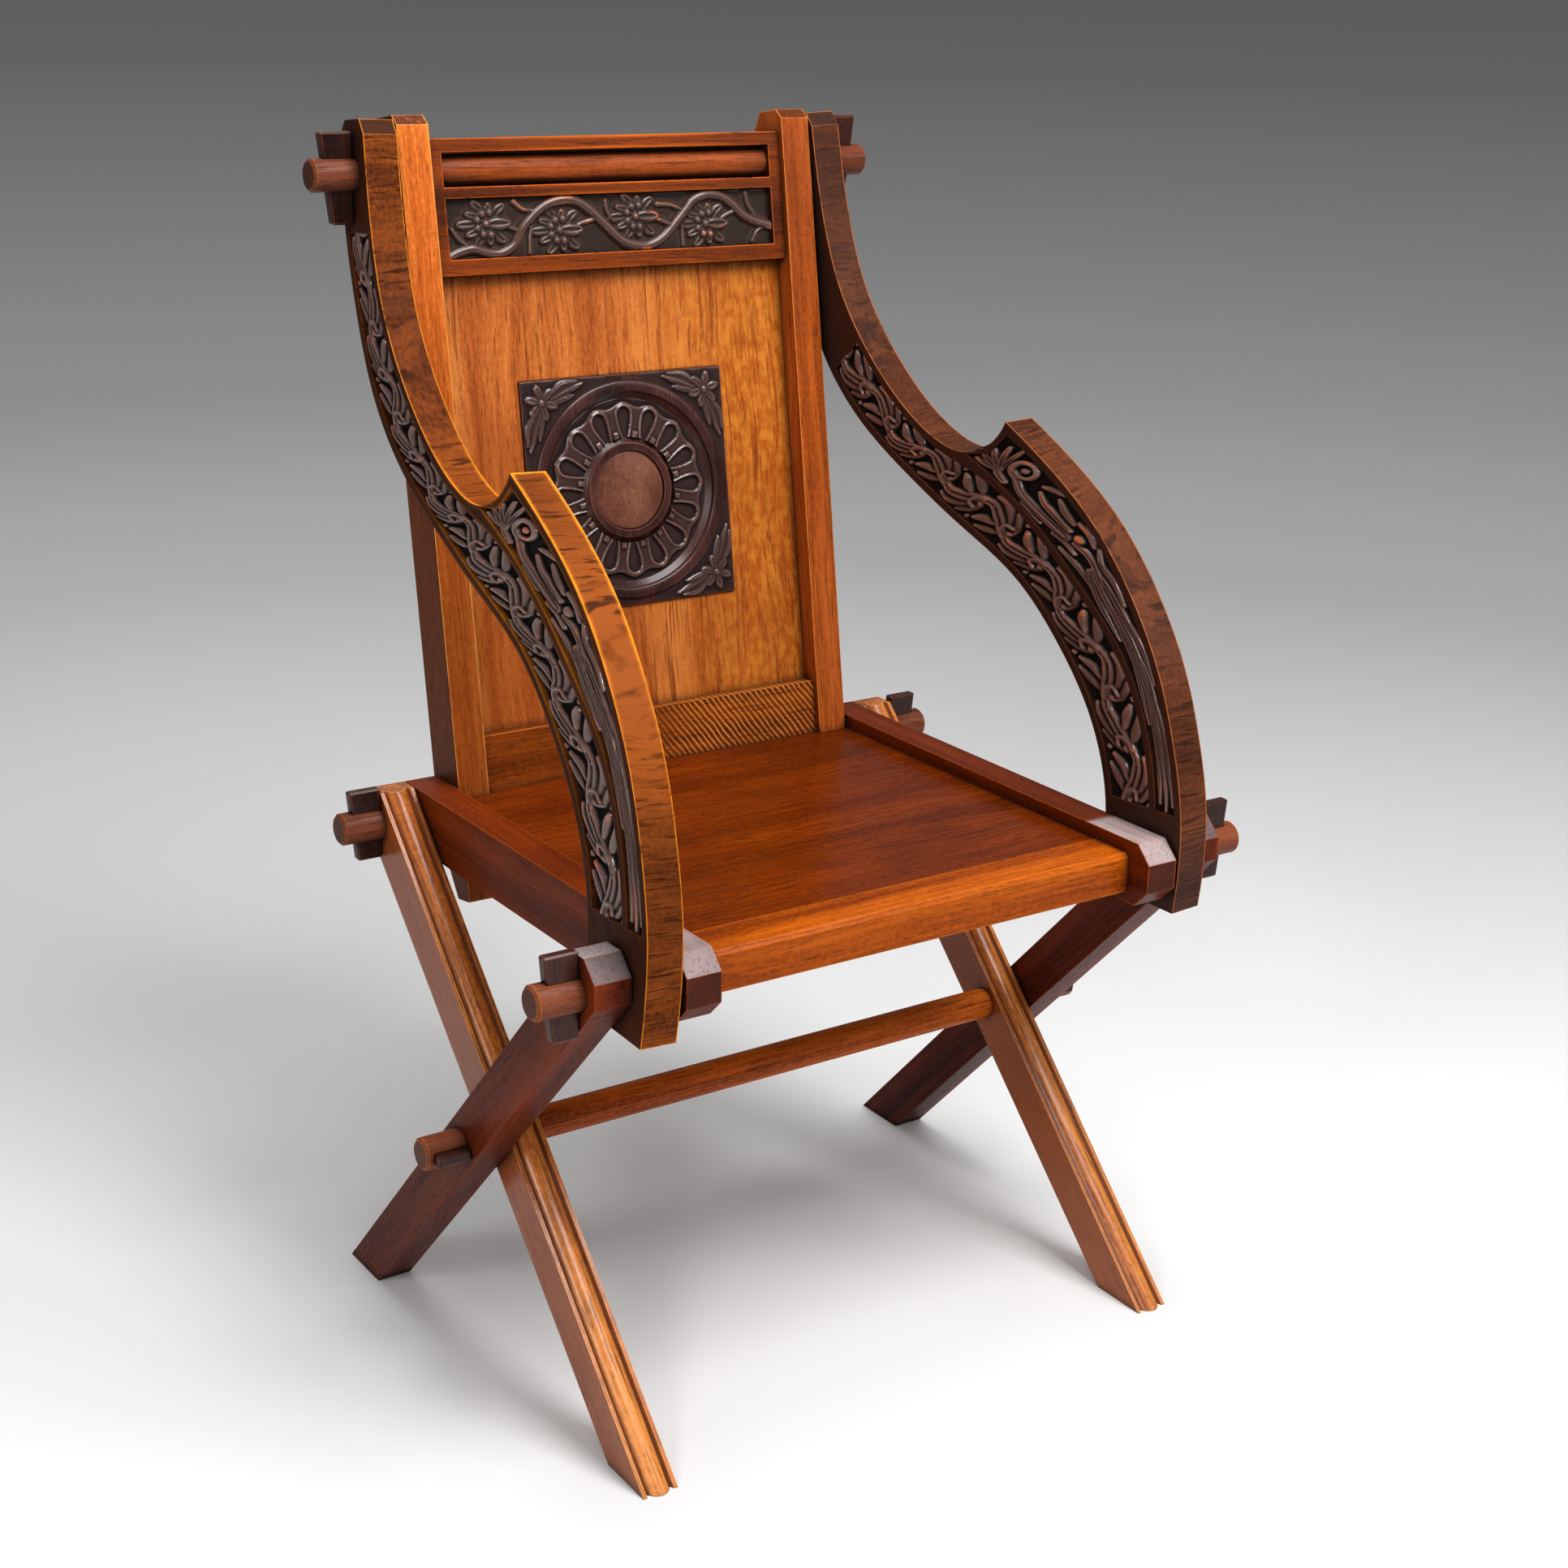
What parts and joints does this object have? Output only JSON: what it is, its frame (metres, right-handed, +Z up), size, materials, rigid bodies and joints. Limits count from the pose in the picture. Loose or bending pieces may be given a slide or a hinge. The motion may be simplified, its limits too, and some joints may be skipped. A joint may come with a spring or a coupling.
{
  "type": "pegged x-frame armchair",
  "caption": "Carved oak armchair with crossed legs in the side planes, sweeping arms and a panel back, threaded on round cross members and held by wedge keys.",
  "frame": {"origin": "on the floor, below the middle of the chair's box", "axes": "+Z up, -Y the front of the chair, +X the sitter's left"},
  "size_m": [0.616, 0.5024, 0.8981],
  "materials": {
    "plain_oak": "polished oak of the stiles and rails",
    "panel_oak": "figured oak of the back panel, orange brown, satin polish",
    "seat_oak": "rich brown oak seat, glossy polish",
    "carved_oak": "dark carved oak with rubbed edges",
    "arm_oak": "dark red brown oak of the arms with near black carved grounds",
    "leg_oak": "dark polished oak of the legs",
    "rod_oak": "turned oak rods with worn ends",
    "key_oak": "very dark oak keys with worn edges",
    "boss": "plain mottled red brown boss, glossy"
  },
  "bodies": {
    "frame": {"back_stile_left": "plain_oak", "back_stile_right": "plain_oak", "top_rail": "carved_oak", "back_bottom_rail": "plain_oak", "back_panel": "panel_oak", "carved_tile": "carved_oak", "tile_boss": "boss", "seat_side_rail_left": "plain_oak", "seat_side_rail_right": "plain_oak", "seat_front_rail": "plain_oak", "seat_rear_rail": "plain_oak", "seat_panel": "seat_oak", "inner_leg_left": "leg_oak", "inner_leg_right": "leg_oak", "outer_leg_left": "leg_oak", "outer_leg_right": "leg_oak", "stretcher": "plain_oak", "arm_left": "arm_oak", "arm_right": "arm_oak", "top_rod": "rod_oak", "rear_rod": "rod_oak"},
    "top_key_left": {"top_key_left": "key_oak"},
    "top_key_right": {"top_key_right": "key_oak"},
    "front_key_left": {"front_key_left": "key_oak"},
    "front_key_right": {"front_key_right": "key_oak"},
    "rear_key_left": {"rear_key_left": "key_oak"},
    "rear_key_right": {"rear_key_right": "key_oak"},
    "cross_key_left": {"cross_key_left": "key_oak"},
    "cross_key_right": {"cross_key_right": "key_oak"}
  },
  "joints": [
    {"name": "top_key_left_draw", "type": "slide", "parent": "frame", "child": "top_key_left", "axis": [0, 0, 1], "range_m": [0, 0.046]},
    {"name": "top_key_right_draw", "type": "slide", "parent": "frame", "child": "top_key_right", "axis": [0, 0, 1], "range_m": [0, 0.051]},
    {"name": "front_key_left_draw", "type": "slide", "parent": "frame", "child": "front_key_left", "axis": [0, 0, 1], "range_m": [0, 0.044]},
    {"name": "front_key_right_draw", "type": "slide", "parent": "frame", "child": "front_key_right", "axis": [0, 0, 1], "range_m": [0, 0.046]},
    {"name": "rear_key_left_draw", "type": "slide", "parent": "frame", "child": "rear_key_left", "axis": [0, 0, 1], "range_m": [0, 0.042]},
    {"name": "rear_key_right_draw", "type": "slide", "parent": "frame", "child": "rear_key_right", "axis": [0, 0, 1], "range_m": [0, 0.042]},
    {"name": "cross_key_left_draw", "type": "slide", "parent": "frame", "child": "cross_key_left", "axis": [0, -1, 0], "range_m": [0, 0.038]},
    {"name": "cross_key_right_draw", "type": "slide", "parent": "frame", "child": "cross_key_right", "axis": [0, -1, 0], "range_m": [0, 0.033]}
  ]
}
